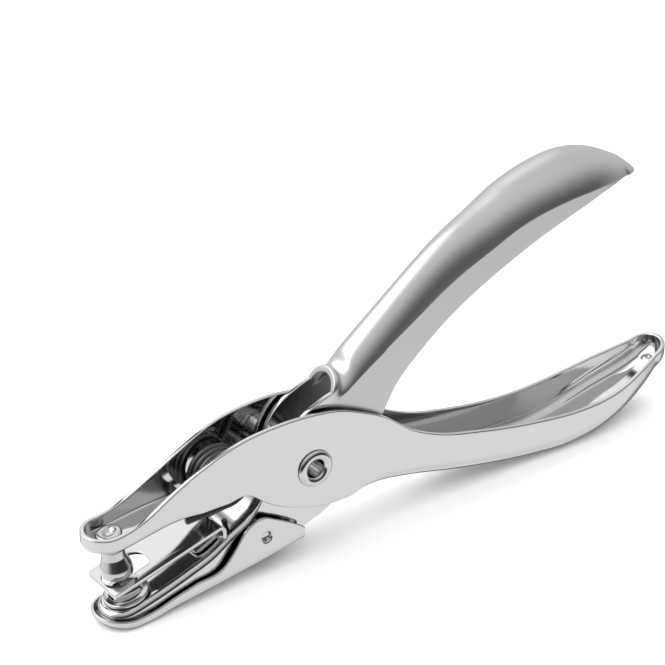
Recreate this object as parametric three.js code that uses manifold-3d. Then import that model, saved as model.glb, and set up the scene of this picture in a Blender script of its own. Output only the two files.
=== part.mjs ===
// Single-hole paper punch in plated sheet steel: two pressed arms crossing at a pivot rivet,
// a spring between the jaws, a punch pin, a guide plate, a die bush and a drop-down chip catcher.
// Units are millimetres. X runs from the jaws to the handle tips, Y across, Z up.
// The design is drawn about the pivot axis and set on its base at the end.
import * as THREE from 'three';
import * as BufferGeometryUtils from 'three/addons/utils/BufferGeometryUtils.js';
import Module from 'manifold-3d';

const wasm = await Module();
wasm.setup();

// ---- driving dimensions -------------------------------------------------------------------
const SHEET = 0.9;                 // steel of both arms
const FIT_GAP = 0.3;               // clearance between separate pieces
const FILLET_STEPS = 4;            // segments in a bend
const CAP_STEPS = 7;               // segments in half of the handle's crown
const END_STEPS = 7;               // segments in half of a rounded nose or tip
const SMALLEST_BEND = 0.25;        // inside radius of a tight bend
const JOIN = 0.01;                 // half the step between two unlike sections of one channel
const OUTSIDE = 9;                 // a Y beyond every side wall, for cutting right through
const BELOW = -30;                 // a Z under the whole object
const ABOVE = 40;                  // a Z over the whole object

// punch arm: upper jaw and lower handle, one open channel with a closed nose and tip
const PUNCH_ARM = { noseX: -39.6, noseR: 4.4, tipX: 80.6, tipR: 4.2 };
const PUNCH_ARM_HALF = curve([[-39.6, 4.4], [-33, 4.3], [-26, 4.15], [-20, 4.45], [-13, 4.95],
  [-7, 5.2], [20, 5.2], [30, 5.3], [40, 5.6], [50, 6.15], [60, 6.9], [66, 7.05], [71, 6.6],
  [76, 5.5], [80.6, 4.2]]);
const PUNCH_ARM_RIM = curve([[-44, 1.3], [-37.5, 1.45], [-34, 2.4], [-28.5, 5.0], [-22.5, 7.75],
  [-14, 10.65], [-7, 11.25], [0, 10.8], [6.3, 9.4], [10.6, 7.4], [15, 4.9], [22, -0.8],
  [28, -3.9], [36, -6.3], [50, -9.2], [58, -10.0], [66, -9.8], [75, -8.2], [85, -5.6]]);
const UPPER_JAW_FLOOR = curve([[-44, -1.7], [-38, -1.9], [-34, -1.5], [-28, -0.9], [-21, -0.8],
  [-18, -2.5], [-14, -4.5], [-6, -10.5], [4, -14.5], [10, -14.5]]);
const LOWER_HANDLE_FLOOR = curve([[8, -8.35], [11, -8.45], [15, -9.2], [22, -10.9], [30, -13.2],
  [40, -15.5], [50, -17.2], [56, -17.8], [64, -17.2], [72, -15.0], [79, -12.3], [85, -8.6]]);
const PUNCH_ARM_BEND = curve([[-44, 0.95], [-20, 0.95], [11, 1.8], [20, 2.2], [45, 2.6], [60, 3.2],
  [85, 3.6]]);
// lower edge of the side plates between the jaw floor and the handle floor
const ARCH = [[-20, -0.75], [-17.8, -0.8], [-13.9, -0.5], [-12.6, -1.2], [-11, -2.7],
  [-8.3, -4.7], [-3.9, -6.8], [0.5, -8.3], [5, -8.95], [8.1, -8.85], [9.6, -8.5]];
const JAW_FLOOR_END = -22.5;       // the upper jaw's floor stops here, clear of the spring
const HANDLE_FLOOR_START = ARCH[ARCH.length - 1][0];    // the lower handle's floor starts here

// die arm: upper handle and lower jaw, a channel open downwards
const DIE_ARM = { noseX: -37.6, noseR: 4.5, tipX: 72.3, tipR: 3.6 };
const DIE_ARM_HALF = curve([[-37.6, 4.5], [-24, 4.45], [-17, 4.2], [-11, 4.0], [20, 4.0], [30, 4.3],
  [40, 5.1], [50, 6.1], [57, 6.6], [63, 6.5], [68, 5.4], [72.3, 3.6]]);
const DIE_ARM_EDGE = curve([[-42, -16.2], [-36, -16.35], [-30, -15.4], [-16, -14.1], [-5, -12.6],
  [-1, -11.8], [4.8, -9.3], [9.5, -3.4], [15.8, 4.2], [16.9, 6.0], [18.6, 8.7], [20.9, 11.2],
  [24.1, 13.9], [31.6, 19.4], [41.8, 25.2], [50.6, 29.3], [59.5, 32.4], [64.5, 33.6],
  [69, 33.9], [76, 33.2]]);
const HANDLE_CREASE = curve([[5, 10.0], [6.9, 11.1], [13.5, 15.2], [22.7, 20.5], [32.4, 26.2],
  [39.8, 29.7], [46, 32.6], [53, 34.4], [60.5, 35.1], [69, 34.6], [76, 33.6]]);
const HANDLE_CROWN = curve([[5, 3.2], [9, 3.7], [16, 4.8], [24, 6.0], [34, 6.6], [45, 6.3],
  [54, 6.4], [61, 6.3], [67, 5.2], [72, 3.1], [76, 1.2]]);
const LOWER_JAW_TOP = curve([[-42, -14.65], [-37.25, -14.0], [-33, -13.1], [-26, -11.2],
  [-21, -9.6], [-18, -8.0], [-10.4, -2.9], [-9, -0.6], [-7, 4.0], [-4, 9.5], [0, 14], [6, 16.5]]);
const HANDLE_START = 5.4;          // sections aft of this X carry the handle's crown
const CROWN_BULGE = 0.5;           // how far the crown stands out from the side plates
const CROWN_POWER = 2.3;           // 2 is an ellipse, more is squarer
const CREASE_GAP = 0.3;            // the side plates always reach this far under the crease
const LOWER_JAW_BEND = 1.2;
// front end of the handle's crown, and front edge of the side plates up to it
const CROWN_FRONT = [[5.6, 12.3], [7.8, 16.0], [9.0, 18.0]];
const THROAT = [[-9.4, -4.4], [-8.0, -1.2], [-6.4, 2.4], [-4.3, 6.6], [-2.7, 8.7], [-0.5, 10.4],
  [2, 11.5], [4.6, 12.4], ...CROWN_FRONT];

// chip catcher: thin open tray around the lower jaw
const TRAY = { noseX: -37.8, noseR: 5.4, endX: -2.8, sheet: 0.5, floorEndX: -14, wallIn: 0.85 };
const TRAY_HALF = curve([[-37.8, 5.4], [-2.8, 5.4]]);
const TRAY_RIM = curve([[-43.2, -15.4], [-36.4, -15.8], [-33.3, -15.4], [-30.2, -14.6],
  [-25.8, -13.7], [-19.4, -12.3], [-17.6, -10.4], [-14.6, -6.9], [-12.6, -5.95], [-11, -5.9],
  [-8.6, -7.2], [-3.9, -10.3], [-2.8, -11.2]]);
const TRAY_FLOOR = curve([[-43.2, -16.9], [-38, -17.8], [-34, -17.8], [-31, -17.3], [-24, -16.6],
  [-10, -14.9], [-2.8, -13.9]]);
const TRAY_BEND = curve([[-43.2, 1.2], [-36, 1.5], [-2.8, 1.5]]);
const TRAY_HINGE = { x: -10.8, z: -10.0, dimpleR: 1.2, holeR: 1.5, depth: 1.2, recessR: 0.95 };

// pivot
const PIVOT = { shankR: 2.6, boreR: 1.75, headR: 3.55, headH: 0.6, holeR: 2.9, sleeveR: 3.9 };

// punch pin, leaning with the upper jaw; it squares up to the die when the jaws close
const PIN = { topX: -38.95, topZ: -1.0, tipX: -38.05, tipZ: -8.5, shankR: 2.1, tipR: 2.85,
  headR: 2.4 };

// guide plate and die bush; both lie along the guide line
const GUIDE = { frontX: -41.4, frontZ: -9.72, slope: 0.2365, length: 23.4, half: 4.65, t: 0.7,
  slotR: 3.3, slotFront: 3.85, slotRear: 6.1, footX: -21.3, footHalf: 2.0, rivetR: 0.95,
  corner: 0.6 };
const DIE = { x: -36.86, topZ: -12.9, flangeR: 4.15, flangeH: 0.6, rim: 0.25, spigotR: 3.55,
  spigotH: 2.1, holeR: 3.08, reliefR: 3.22, landH: 1.2 };

// torsion spring between the jaws
const SPRING = { x: -16.3, z: 2.4, meanR: 4.7, wire: 1.2, wireSides: 6, pitch: 1.3, turns: 3.86,
  upperLeg: 9.0, lowerLeg: 5.6, stepsPerTurn: 16 };

// ---- small tools --------------------------------------------------------------------------
// Smooth curve through [x, z] points: cubic pieces that share a tangent at each point.
function curve(points) {
  const slopes = points.map((p, i) => {
    const before = points[Math.max(i - 1, 0)];
    const after = points[Math.min(i + 1, points.length - 1)];
    if (i === 0 || i === points.length - 1) return (after[1] - before[1]) / (after[0] - before[0]);
    const left = p[0] - before[0];
    const right = after[0] - p[0];
    return (((p[1] - before[1]) / left) * right + ((after[1] - p[1]) / right) * left) / (left + right);
  });
  const value = (x) => {
    const last = points.length - 1;
    const at = Math.min(Math.max(x, points[0][0]), points[last][0]);
    let i = 0;
    while (i < last - 1 && at > points[i + 1][0]) i += 1;
    const h = points[i + 1][0] - points[i][0];
    const t = (at - points[i][0]) / h;
    const t2 = t * t;
    const t3 = t2 * t;
    return (2 * t3 - 3 * t2 + 1) * points[i][1] + (t3 - 2 * t2 + t) * h * slopes[i]
      + (3 * t2 - 2 * t3) * points[i + 1][1] + (t3 - t2) * h * slopes[i + 1];
  };
  value.slope = (x) => (value(x + 0.05) - value(x - 0.05)) / 0.1;
  return value;
}

function toSolid(geometry) {
  const bare = geometry.clone();
  bare.deleteAttribute('normal');
  bare.deleteAttribute('uv');
  const merged = BufferGeometryUtils.mergeVertices(bare, 1e-4);
  const index = merged.index.array;
  const kept = [];
  for (let i = 0; i < index.length; i += 3) {
    const [a, b, c] = [index[i], index[i + 1], index[i + 2]];
    if (a !== b && b !== c && c !== a) kept.push(a, b, c);
  }
  return new wasm.Manifold(new wasm.Mesh({
    numProp: 3,
    vertProperties: new Float32Array(merged.attributes.position.array),
    triVerts: new Uint32Array(kept),
  }));
}

function toGeometry(solid) {
  const mesh = solid.getMesh();
  const geometry = new THREE.BufferGeometry();
  geometry.setAttribute('position', new THREE.BufferAttribute(mesh.vertProperties, 3));
  geometry.setIndex(new THREE.BufferAttribute(mesh.triVerts, 1));
  geometry.computeVertexNormals();
  return geometry;
}

function cutAll(solid, cuts) {
  return cuts.reduce((rest, cut) => rest.subtract(cut), solid);
}

// Prism across the object: an outline of [x, z] points, from y = near to y = far.
function sidePrism(outline, near, far) {
  const shape = new THREE.Shape(outline.map(([x, z]) => new THREE.Vector2(x, z)));
  const geometry = new THREE.ExtrudeGeometry(shape, { depth: far - near, bevelEnabled: false });
  geometry.rotateX(Math.PI / 2);
  geometry.translate(0, far, 0);
  return toSolid(geometry);
}

// Round bar across the object.
function crossBar(x, z, radius, near, far, sides = 28) {
  const geometry = new THREE.CylinderGeometry(radius, radius, far - near, sides);
  geometry.translate(x, (near + far) / 2, z);
  return toSolid(geometry);
}

// Body of revolution about Z from a closed [radius, z] profile, drawn in either direction.
function turned(profile, sides = 28) {
  const points = profile.map(([r, z]) => new THREE.Vector2(r, z));
  if (THREE.ShapeUtils.area(points) < 0) points.reverse();
  return new THREE.LatheGeometry(points, sides).rotateX(Math.PI / 2);
}

// ---- pressed channels ---------------------------------------------------------------------
// Stations along one side of a channel, from the middle of its nose to its far end.
function stations(arm, half, spacing, closedTip) {
  const list = [];
  for (let i = 0; i < END_STEPS; i += 1) {
    const angle = (Math.PI / 2) * (i / END_STEPS);
    const x = arm.noseX - arm.noseR * Math.cos(angle);
    list.push({ x, y: -arm.noseR * Math.sin(angle), spine: arm.noseX });
  }
  const end = closedTip ? arm.tipX : arm.endX;
  const stops = [arm.noseX, ...spacing.filter((x) => x > arm.noseX && x < end), end];
  stops.forEach((x) => list.push({ x, y: -half(x), spine: x }));
  if (closedTip) {
    for (let i = END_STEPS - 1; i >= 0; i -= 1) {
      const angle = (Math.PI / 2) * (i / END_STEPS);
      const x = arm.tipX + arm.tipR * Math.cos(angle);
      list.push({ x, y: -arm.tipR * Math.sin(angle), spine: arm.tipX });
    }
  }
  return list;
}

function ramp(start, end, step) {
  const count = Math.max(1, Math.round((end - start) / step));
  return Array.from({ length: count }, (_, i) => start + ((end - start) * i) / count);
}

// Skin of a channel: section(station, inset) gives [inward distance, z] points from the rim to
// the spine. The outer and inner skins are joined along the rim, and across an open end.
function channel(side, section, sheet, openEnd) {
  const ring = [...side].reverse();
  const mirrored = side.map((s) => ({ ...s, y: -s.y }));
  const loop = openEnd ? [...ring, ...mirrored.slice(1)] : [...ring, ...mirrored.slice(1, -1)];
  const positions = [];
  const skins = [0, sheet].map((inset) => loop.map((s) => {
    const reach = Math.hypot(s.x - s.spine, s.y);
    const inX = (s.spine - s.x) / reach;
    const inY = -s.y / reach;
    return section(s, inset, reach).map(([d, z]) => {
      const last = Math.abs(d - reach) < 1e-9;
      positions.push(s.x + inX * d, last ? 0 : s.y + inY * d, z);
      return positions.length / 3 - 1;
    });
  }));
  const faces = [];
  const [rimPoint, nextPoint] = section(side[side.length >> 1], 0, 1);
  const floorBelow = rimPoint[1] > nextPoint[1];
  const quad = (a, b, c, d) => (floorBelow ? faces.push(a, c, b, a, d, c) : faces.push(a, b, c, a, c, d));
  const count = loop.length;
  const spans = openEnd ? count - 1 : count;
  const [outer, inner] = skins;
  const rows = outer[0].length;
  for (let i = 0; i < spans; i += 1) {
    const j = (i + 1) % count;
    for (let k = 0; k < rows - 1; k += 1) {
      quad(outer[i][k], outer[i][k + 1], outer[j][k + 1], outer[j][k]);
      quad(inner[i][k], inner[j][k], inner[j][k + 1], inner[i][k + 1]);
    }
    quad(outer[i][0], outer[j][0], inner[j][0], inner[i][0]);
  }
  if (openEnd) {
    for (let k = 0; k < rows - 1; k += 1) {
      const last = count - 1;
      quad(outer[0][k], inner[0][k], inner[0][k + 1], outer[0][k + 1]);
      quad(outer[last][k], outer[last][k + 1], inner[last][k + 1], inner[last][k]);
    }
  }
  const geometry = new THREE.BufferGeometry();
  geometry.setAttribute('position', new THREE.BufferAttribute(new Float32Array(positions), 3));
  geometry.setIndex(faces);
  return geometry;
}

// Quarter-round from the wall to the floor; up is +1 for a floor below, -1 for a web above.
function bend(wallD, floorZ, radius, up) {
  const points = [];
  for (let i = 0; i <= FILLET_STEPS; i += 1) {
    const angle = (Math.PI / 2) * (i / FILLET_STEPS);
    const rise = radius * (1 - Math.sin(angle));
    points.push([wallD + radius * (1 - Math.cos(angle)), floorZ + up * rise]);
  }
  return points;
}

// Height through a sloping sheet of a given thickness.
function through(sheet, floor, x) {
  return sheet * Math.hypot(1, floor.slope(x));
}

function openChannelSection(rim, floor, bendRadius) {
  return (s, inset, reach) => {
    const radius = Math.max(bendRadius(s.x) - inset, SMALLEST_BEND);
    return [[inset, rim(s.x)], ...bend(inset, floor(s.x) + through(inset, floor, s.x), radius, 1),
      [reach, floor(s.spine) + through(inset, floor, s.spine)]];
  };
}

// Lower jaw: side walls and a web on top, with as many rows as the crown so that they join.
function lowerJawSection(s, inset, reach) {
  const top = LOWER_JAW_TOP(s.x) - through(inset, LOWER_JAW_TOP, s.x);
  const web = bend(inset, top, LOWER_JAW_BEND - inset, -1);
  const [d, z] = web[web.length - 1];
  const middle = LOWER_JAW_TOP(s.spine) - through(inset, LOWER_JAW_TOP, s.spine);
  const count = CAP_STEPS - FILLET_STEPS;
  const across = Array.from({ length: count }, (_, i) => {
    const share = (i + 1) / count;
    return [d + (reach - d) * share, z + (middle - z) * share];
  });
  return [[inset, DIE_ARM_EDGE(s.x)], ...web, ...across];
}

// Upper handle: side walls up to the crease, then a crown that stands a little proud of them.
// At the tip the crown keeps falling at the slope that the handle's back has there.
function upperHandleSection(s, inset, reach) {
  const crown = HANDLE_CROWN(s.spine) - through(inset, HANDLE_CREASE, s.spine);
  const fall = HANDLE_CREASE.slope(s.spine) + HANDLE_CROWN.slope(s.spine);
  const points = [[inset, Math.min(DIE_ARM_EDGE(s.x), HANDLE_CREASE(s.x) - CREASE_GAP)]];
  for (let i = 0; i <= CAP_STEPS; i += 1) {
    const angle = (Math.PI / 2) * (i / CAP_STEPS);
    const width = Math.cos(angle) ** (2 / CROWN_POWER);
    const rise = Math.sin(angle) ** (2 / CROWN_POWER);
    const d = i === CAP_STEPS ? reach : reach - (reach + CROWN_BULGE - inset) * width;
    const foot = HANDLE_CREASE(s.x) + (HANDLE_CREASE(s.spine) - HANDLE_CREASE(s.x)) * rise;
    const beyond = (s.x - s.spine) * (1 - d / reach);
    points.push([d, foot + (crown + fall * beyond) * rise]);
  }
  return points;
}

function dieArmSection(s, inset, reach) {
  const section = s.spine < HANDLE_START ? lowerJawSection : upperHandleSection;
  return section(s, inset, reach);
}

// ---- the pieces ---------------------------------------------------------------------------
function punchArmFloor(x) {
  return x < HANDLE_FLOOR_START ? UPPER_JAW_FLOOR(x) : LOWER_HANDLE_FLOOR(x);
}
punchArmFloor.slope = (x) => (x < HANDLE_FLOOR_START ? UPPER_JAW_FLOOR : LOWER_HANDLE_FLOOR).slope(x);

function punchArm() {
  const { noseX, tipX } = PUNCH_ARM;
  const [archStart, archEnd] = [ARCH[0][0], ARCH[ARCH.length - 1][0]];
  const spacing = [...ramp(noseX, archStart, 4.9), ...ramp(archStart, archEnd - JOIN, 3.1),
    archEnd - JOIN, archEnd, ...ramp(archEnd + 2, 30, 3.2), ...ramp(30, tipX, 4.6)];
  const side = stations(PUNCH_ARM, PUNCH_ARM_HALF, spacing, true);
  const section = openChannelSection(PUNCH_ARM_RIM, punchArmFloor, PUNCH_ARM_BEND);
  const inner = PUNCH_ARM_HALF(archStart) - SHEET;
  const gapEnd = archStart + 1;
  const floorGap = [[JAW_FLOOR_END, -4], [gapEnd, -4], [gapEnd, SHEET], [JAW_FLOOR_END, SHEET]];
  const cuts = [
    sidePrism([...ARCH, [archEnd, BELOW], [archStart, BELOW]], -OUTSIDE, OUTSIDE),
    sidePrism(floorGap, -inner, inner),
    crossBar(0, 0, PIVOT.holeR, -OUTSIDE, OUTSIDE),
    leaningBar(PIN.shankR + FIT_GAP),
  ];
  return toGeometry(cutAll(toSolid(channel(side, section, SHEET, false)), cuts));
}

// Direction of the punch pin, from its head to its cutting end.
function pinAxis() {
  return new THREE.Vector3(PIN.tipX - PIN.topX, 0, PIN.tipZ - PIN.topZ);
}

function alongPin(geometry) {
  const down = new THREE.Vector3(0, 0, -1);
  const turn = new THREE.Quaternion().setFromUnitVectors(down, pinAxis().normalize());
  geometry.applyQuaternion(turn);
  return geometry.translate(PIN.topX, 0, PIN.topZ);
}

function bar(radius, low, high, sides) {
  return turned([[0, low], [radius, low], [radius, high], [0, high]], sides);
}

function leaningBar(radius) {
  return toSolid(alongPin(bar(radius, -4, 4)));
}

// Head riveted over inside the jaw, shoulder under the jaw, shank flaring to a hollow cutting edge.
function punchPin() {
  const length = pinAxis().length();
  const tilt = (PIN.tipX - PIN.topX) / length;
  const floorTop = FIT_GAP + PIN.headR * tilt;
  const shoulder = -SHEET - floorTop - 0.1;
  const profile = [[0, floorTop - 0.15], [0.9, floorTop + 0.15], [1.3, floorTop + 0.55],
    [1.95, floorTop + 0.5], [PIN.headR, floorTop + 0.12], [PIN.headR - 0.1, floorTop],
    [PIN.shankR, floorTop],
    [PIN.shankR, shoulder], [PIN.shankR + 0.3, shoulder], [PIN.shankR + 0.3, shoulder - 0.5],
    [PIN.shankR, shoulder - 0.8], [PIN.shankR + 0.02, -length + 3.6], [PIN.shankR + 0.16, -length + 2.7],
    [PIN.tipR - 0.18, -length + 1.4], [PIN.tipR, -length + 0.7], [PIN.tipR, -length],
    [PIN.tipR - 0.35, -length], [PIN.tipR - 0.9, -length + 1.2], [0, -length + 1.6]];
  return alongPin(turned(profile));
}

function dieArm() {
  const { noseX, tipX } = DIE_ARM;
  const webEnd = THROAT[0][0];
  const frontTop = THROAT[THROAT.length - 1][0];
  const spacing = [...ramp(noseX, webEnd - 1, 3.4), ...ramp(webEnd - 1, HANDLE_START - JOIN, 2.6),
    HANDLE_START - JOIN, HANDLE_START + JOIN, ...ramp(HANDLE_START + 2, 22, 2.4), ...ramp(22, tipX, 4.2)];
  const side = stations(DIE_ARM, DIE_ARM_HALF, spacing, true);
  const inner = DIE_ARM_HALF(HANDLE_START) - SHEET - JOIN;
  const crownFoot = HANDLE_START + 0.1;
  const underCrown = [[2, 10.5], [crownFoot, 10.5], [crownFoot, 13], [2, 13]];
  const cuts = [
    sidePrism([...THROAT, [frontTop, ABOVE], [webEnd, ABOVE]], -OUTSIDE, OUTSIDE),
    sidePrism(underCrown, -inner, inner),
    crossBar(0, 0, PIVOT.holeR, -OUTSIDE, OUTSIDE),
    crossBar(TRAY_HINGE.x, TRAY_HINGE.z, TRAY_HINGE.holeR, -OUTSIDE, OUTSIDE, 16),
    toSolid(atDie(bar(DIE.spigotR + FIT_GAP, -9, 4))),
    rivetBar(),
  ];
  return toGeometry(cutAll(toSolid(channel(side, dieArmSection, SHEET, false)), cuts));
}

function guideAngle() {
  return Math.atan(GUIDE.slope);
}

// Places a piece drawn with its top at the origin onto the die's seat, square to the guide line.
function atDie(geometry) {
  return geometry.rotateY(-guideAngle()).translate(DIE.x, 0, DIE.topZ);
}

function dieBush() {
  const foot = -DIE.flangeH - DIE.spigotH;
  const profile = [[DIE.holeR, 0], [DIE.flangeR - DIE.rim, 0], [DIE.flangeR, -DIE.rim],
    [DIE.flangeR, -DIE.flangeH], [DIE.spigotR, -DIE.flangeH], [DIE.spigotR, foot],
    [DIE.reliefR, foot], [DIE.holeR, -DIE.landH], [DIE.holeR, 0]];
  return atDie(turned(profile, 32));
}

// The guide plate lies over the die; its rear end turns down to a foot riveted to the lower jaw.
function guidePlate() {
  const { corner } = GUIDE;
  const plate = new THREE.Shape();
  plate.moveTo(corner, -GUIDE.half);
  plate.lineTo(GUIDE.length, -GUIDE.half);
  plate.lineTo(GUIDE.length, GUIDE.half);
  plate.lineTo(corner, GUIDE.half);
  plate.quadraticCurveTo(0, GUIDE.half, 0, GUIDE.half - corner);
  plate.lineTo(0, -GUIDE.half + corner);
  plate.quadraticCurveTo(0, -GUIDE.half, corner, -GUIDE.half);
  const slot = new THREE.Path();
  slot.absarc(GUIDE.slotRear, 0, GUIDE.slotR, -Math.PI / 2, Math.PI / 2, false);
  slot.absarc(GUIDE.slotFront, 0, GUIDE.slotR, Math.PI / 2, (3 * Math.PI) / 2, false);
  plate.holes.push(slot);
  const flat = new THREE.ExtrudeGeometry(plate, { depth: GUIDE.t, bevelEnabled: false, curveSegments: 10 });
  flat.translate(0, 0, -GUIDE.t).rotateY(-guideAngle()).translate(GUIDE.frontX, 0, GUIDE.frontZ);
  const rearX = GUIDE.frontX + GUIDE.length * Math.cos(guideAngle());
  const rearZ = GUIDE.frontZ + GUIDE.length * Math.sin(guideAngle());
  const seat = (x) => LOWER_JAW_TOP(x) + FIT_GAP;
  const frontX = rearX - GUIDE.t;
  const toeX = GUIDE.footX - GUIDE.footHalf;
  const turnDown = sidePrism([[rearX, rearZ], [rearX, seat(rearX)], [frontX, seat(frontX)],
    [frontX, rearZ - 0.1]], -GUIDE.half, GUIDE.half);
  const foot = sidePrism([[rearX, seat(rearX)], [toeX, seat(toeX)], [toeX, seat(toeX) + GUIDE.t],
    [rearX, seat(rearX) + GUIDE.t]], -GUIDE.footHalf, GUIDE.footHalf);
  return toGeometry(toSolid(flat).add(turnDown).add(foot).subtract(rivetBar()));
}

// The foot's rivet, square to the lower jaw's web.
function atRivet(geometry) {
  return geometry.rotateY(-Math.atan(LOWER_JAW_TOP.slope(GUIDE.footX)))
    .translate(GUIDE.footX, 0, LOWER_JAW_TOP(GUIDE.footX));
}

function rivetBar() {
  return toSolid(atRivet(bar(GUIDE.rivetR + FIT_GAP, -3, 2, 16)));
}

function guideRivet() {
  const seat = GUIDE.t + 2 * FIT_GAP + 0.1;
  const back = -SHEET - FIT_GAP - 0.15;
  const headR = GUIDE.rivetR + 0.65;
  const profile = [[0, seat + 0.6], [headR - 0.6, seat + 0.5], [headR, seat + 0.1], [headR - 0.05, seat],
    [GUIDE.rivetR, seat], [GUIDE.rivetR, back], [headR, back], [headR - 0.1, back - 0.35],
    [0.4, back - 0.6], [0, back - 0.6]];
  return atRivet(turned(profile, 16));
}

// Tubular rivet: turned head on one side, rolled end on the other, hollow through.
function pivotRivet() {
  const face = PUNCH_ARM_HALF(0) + FIT_GAP;
  const top = face + PIVOT.headH;
  const roll = PIVOT.headR - 0.9;
  const profile = [[PIVOT.boreR, -top + 0.4], [roll - 0.4, -top + 0.1], [roll, -top],
    [PIVOT.headR - 0.2, -top + 0.12], [PIVOT.headR, -face - 0.15], [PIVOT.headR - 0.1, -face],
    [PIVOT.shankR, -face], [PIVOT.shankR, face], [PIVOT.headR - 0.1, face],
    [PIVOT.headR, face + 0.15], [PIVOT.headR - 0.2, top - 0.12], [roll, top],
    [roll - 0.4, top - 0.1], [PIVOT.boreR, top - 0.4], [PIVOT.boreR, -top + 0.4]];
  return turned(profile, 32).rotateX(Math.PI / 2);
}

function pivotSleeve() {
  const half = DIE_ARM_HALF(0) - SHEET - FIT_GAP;
  const profile = [[PIVOT.holeR + 0.1, -half], [PIVOT.sleeveR, -half], [PIVOT.sleeveR, half],
    [PIVOT.holeR + 0.1, half], [PIVOT.holeR + 0.1, -half]];
  return turned(profile, 28).rotateX(Math.PI / 2);
}

// Wire path of the spring: a leg forward under the upper jaw's floor, the coils, and a leg down
// and back to the lower jaw's web.
class SpringPath extends THREE.Curve {
  constructor() {
    super();
    this.coil = SPRING.turns * 2 * Math.PI * SPRING.meanR;
    this.total = this.coil + SPRING.upperLeg + SPRING.lowerLeg;
  }

  getPoint(t, target = new THREE.Vector3()) {
    const along = t * this.total - SPRING.upperLeg;
    const s = Math.min(Math.max(along, 0), this.coil);
    const angle = -Math.PI / 2 + s / SPRING.meanR;
    const width = SPRING.turns * SPRING.pitch;
    const beyond = along - s;
    return target.set(
      SPRING.x + SPRING.meanR * Math.cos(angle) - Math.sin(angle) * beyond,
      width * (s / this.coil - 0.5),
      SPRING.z + SPRING.meanR * Math.sin(angle) + Math.cos(angle) * beyond,
    );
  }
}

function torsionSpring() {
  const wire = new THREE.Shape();
  for (let i = 0; i < SPRING.wireSides; i += 1) {
    const angle = (2 * Math.PI * i) / SPRING.wireSides;
    const point = [(SPRING.wire / 2) * Math.cos(angle), (SPRING.wire / 2) * Math.sin(angle)];
    if (i === 0) wire.moveTo(...point);
    else wire.lineTo(...point);
  }
  const steps = Math.round((SPRING.turns + 0.5) * SPRING.stepsPerTurn);
  return new THREE.ExtrudeGeometry(wire, { steps, bevelEnabled: false, extrudePath: new SpringPath() });
}

// Tray with ears that clip onto the lower jaw by dimples pressed into its holes. Its floor stops
// short of the rear end of its walls, so that the tray can swing down.
function chipCatcher() {
  const earFront = -19.4;
  const spacing = [...ramp(TRAY.noseX, earFront, 3.7), ...ramp(earFront, TRAY.endX, 1.85)];
  const side = stations(TRAY, TRAY_HALF, spacing, false);
  const section = openChannelSection(TRAY_RIM, TRAY_FLOOR, TRAY_BEND);
  let solid = toSolid(channel(side, section, TRAY.sheet, true));
  const { dimpleR, recessR, depth } = TRAY_HINGE;
  const bumpEnd = TRAY.sheet + depth;
  [-1, 1].forEach((way) => {
    const bump = turned([[0, 0.2], [dimpleR, 0.2], [dimpleR - 0.15, bumpEnd - 0.1], [0, bumpEnd]], 16);
    const recess = turned([[0, 0.9], [0.35, 0.8], [recessR, -0.2], [0, -0.2]], 16);
    [bump, recess].forEach((piece) => {
      piece.rotateX(way * (Math.PI / 2));
      piece.translate(TRAY_HINGE.x, way * TRAY.noseR, TRAY_HINGE.z);
    });
    solid = solid.add(toSolid(bump)).subtract(toSolid(recess));
  });
  const inner = TRAY.noseR - TRAY.wallIn;
  const rearGap = [[TRAY.floorEndX, BELOW], [0, BELOW], [0, -11], [TRAY.floorEndX, -11]];
  return toGeometry(solid.subtract(sidePrism(rearGap, -inner, inner)));
}

// ---- assembly -----------------------------------------------------------------------------
const chrome = { color: 0xd4d6d8, metalness: 1.0, roughness: 0.08 };
const toolSteel = { color: 0xa9abae, metalness: 1.0, roughness: 0.22 };
const springSteel = { color: 0x2a2b2d, metalness: 0.9, roughness: 0.35 };

const LOWEST = -17.815;
const NOSE_END = PUNCH_ARM.noseX - PUNCH_ARM.noseR;
const TIP_END = PUNCH_ARM.tipX + PUNCH_ARM.tipR;
const MIDDLE_X = (NOSE_END + TIP_END) / 2;
const group = new THREE.Group();
group.position.set(-MIDDLE_X, 0, -LOWEST);

function addPiece(name, geometry, look) {
  const mesh = new THREE.Mesh(geometry, new THREE.MeshStandardMaterial(look));
  mesh.name = name;
  group.add(mesh);
}

addPiece('punch_arm', punchArm(), chrome);
addPiece('punch_pin', punchPin(), toolSteel);
addPiece('die_arm', dieArm(), chrome);
addPiece('die_bush', dieBush(), toolSteel);
addPiece('guide_plate', guidePlate(), chrome);
addPiece('guide_plate_rivet', guideRivet(), chrome);
addPiece('pivot_rivet', pivotRivet(), chrome);
addPiece('pivot_sleeve', pivotSleeve(), toolSteel);
addPiece('torsion_spring', torsionSpring(), springSteel);
addPiece('chip_catcher', chipCatcher(), chrome);

export default group;
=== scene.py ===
"""Looks for the hole punch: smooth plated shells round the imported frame, a soft studio and the camera.

Outlines are in millimetres in the design frame: origin on the pivot axis, X to the handle tips,
Y across, Z up. row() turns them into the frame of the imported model, in metres.
"""

import math

import bmesh
import bpy
import numpy as np
from mathutils import Matrix, Vector


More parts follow.
